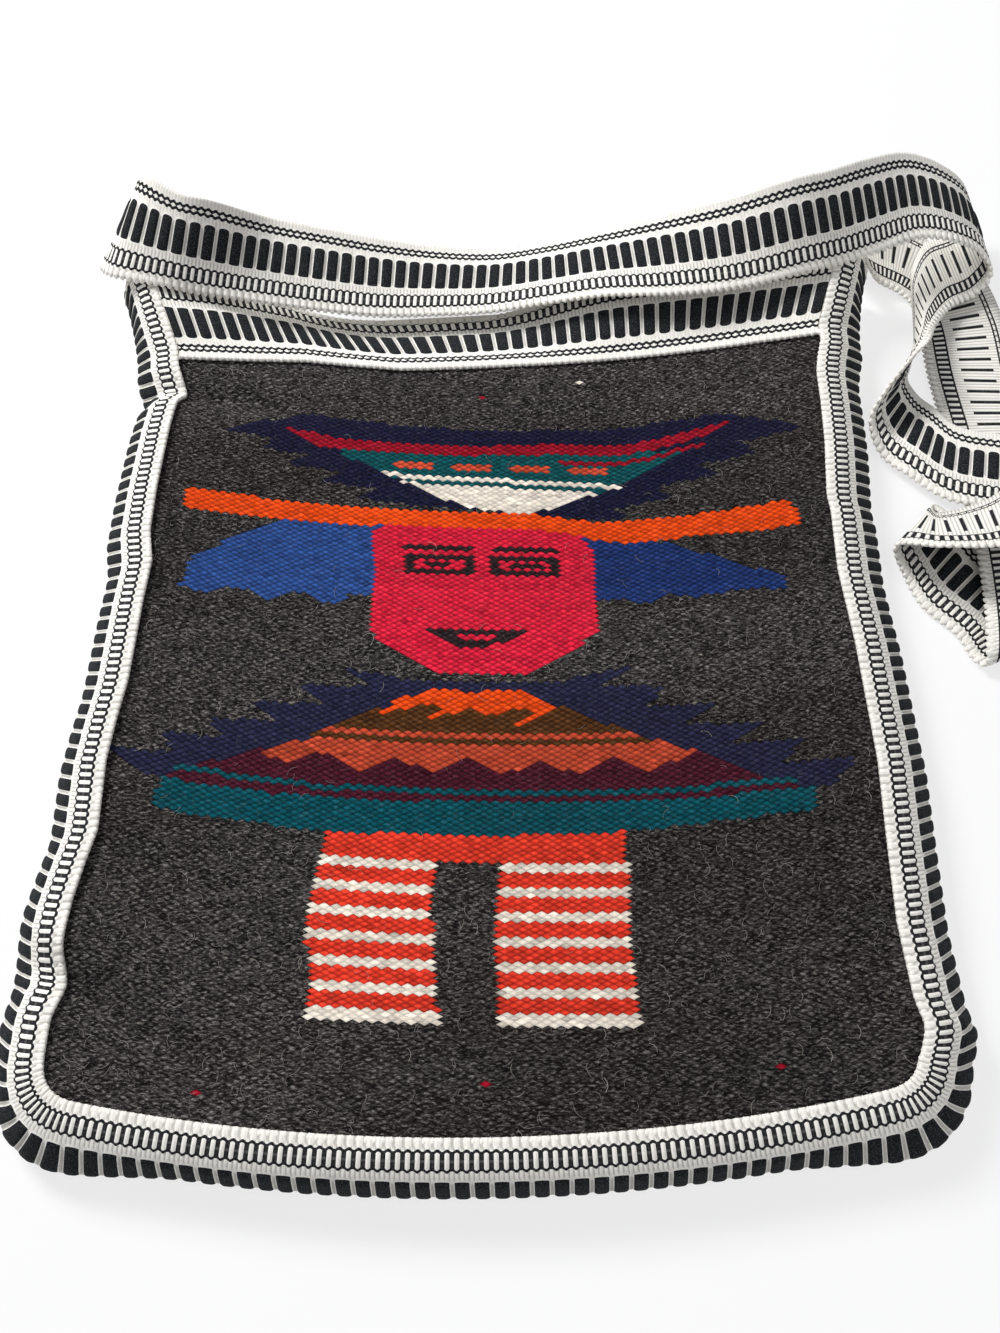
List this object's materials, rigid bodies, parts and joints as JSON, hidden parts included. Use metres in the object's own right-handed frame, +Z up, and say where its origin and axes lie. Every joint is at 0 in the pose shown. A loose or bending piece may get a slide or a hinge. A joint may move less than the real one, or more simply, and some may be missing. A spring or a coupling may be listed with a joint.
{
  "type": "woven crossbody bag",
  "caption": "Flat woven wool crossbody bag lying on its back, with a tapestry figure on the front, black and white band edging and a long woven shoulder strap.",
  "frame": {"origin": "middle of the back panel's resting face", "axes": "+Z up out of the front panel, +Y towards the mouth, +X to the right as seen from the front"},
  "size_m": [0.4081, 0.4214, 0.0624],
  "materials": {
    "wool_charcoal": "matt hand-spun wool, weft-faced tapestry weave",
    "cotton_white": "matt cotton, warp-faced patterned band",
    "cotton_black": "matt cotton, warp-faced patterned band",
    "wool_navy": "matt hand-spun wool, weft-faced tapestry weave",
    "wool_teal": "matt hand-spun wool, weft-faced tapestry weave",
    "wool_crimson": "matt hand-spun wool, weft-faced tapestry weave",
    "wool_coral": "matt hand-spun wool, weft-faced tapestry weave",
    "wool_cream": "matt hand-spun wool, weft-faced tapestry weave",
    "wool_blue": "matt hand-spun wool, weft-faced tapestry weave",
    "wool_red": "matt hand-spun wool, weft-faced tapestry weave",
    "wool_orange": "matt hand-spun wool, weft-faced tapestry weave",
    "wool_dark": "matt hand-spun wool, weft-faced tapestry weave",
    "wool_burgundy": "matt hand-spun wool, weft-faced tapestry weave",
    "wool_rust": "matt hand-spun wool, weft-faced tapestry weave",
    "wool_olive": "matt hand-spun wool, weft-faced tapestry weave",
    "wool_leg_red": "matt hand-spun wool, weft-faced tapestry weave"
  },
  "bodies": {
    "root": {"front_panel": "wool_charcoal", "back_panel": "wool_charcoal", "front_mouth_band": "cotton_white", "back_mouth_band": "cotton_white", "gusset_band": "cotton_white", "shoulder_strap": "cotton_white", "front_mouth_blocks": "cotton_black", "back_mouth_blocks": "cotton_black", "gusset_blocks": "cotton_black", "strap_blocks": "cotton_black", "hat_crown": "wool_navy", "poncho_navy": "wool_navy", "hat_teal": "wool_teal", "hem_bar": "wool_teal", "hat_crimson": "wool_crimson", "hat_dash_1": "wool_coral", "hat_dash_2": "wool_coral", "hat_dash_3": "wool_coral", "hat_dash_4": "wool_coral", "hat_point": "wool_cream", "sock_left": "wool_cream", "sock_right": "wool_cream", "hair_left": "wool_blue", "hair_right": "wool_blue", "face": "wool_red", "eye_left_centre": "wool_red", "eye_right_centre": "wool_red", "hat_brim": "wool_orange", "poncho_peak": "wool_orange", "brow_left": "wool_dark", "brow_right": "wool_dark", "eye_left": "wool_dark", "eye_right": "wool_dark", "mouth": "wool_dark", "poncho_burgundy": "wool_burgundy", "poncho_rust": "wool_rust", "poncho_olive": "wool_olive", "trousers": "wool_leg_red"}
  },
  "joints": []
}
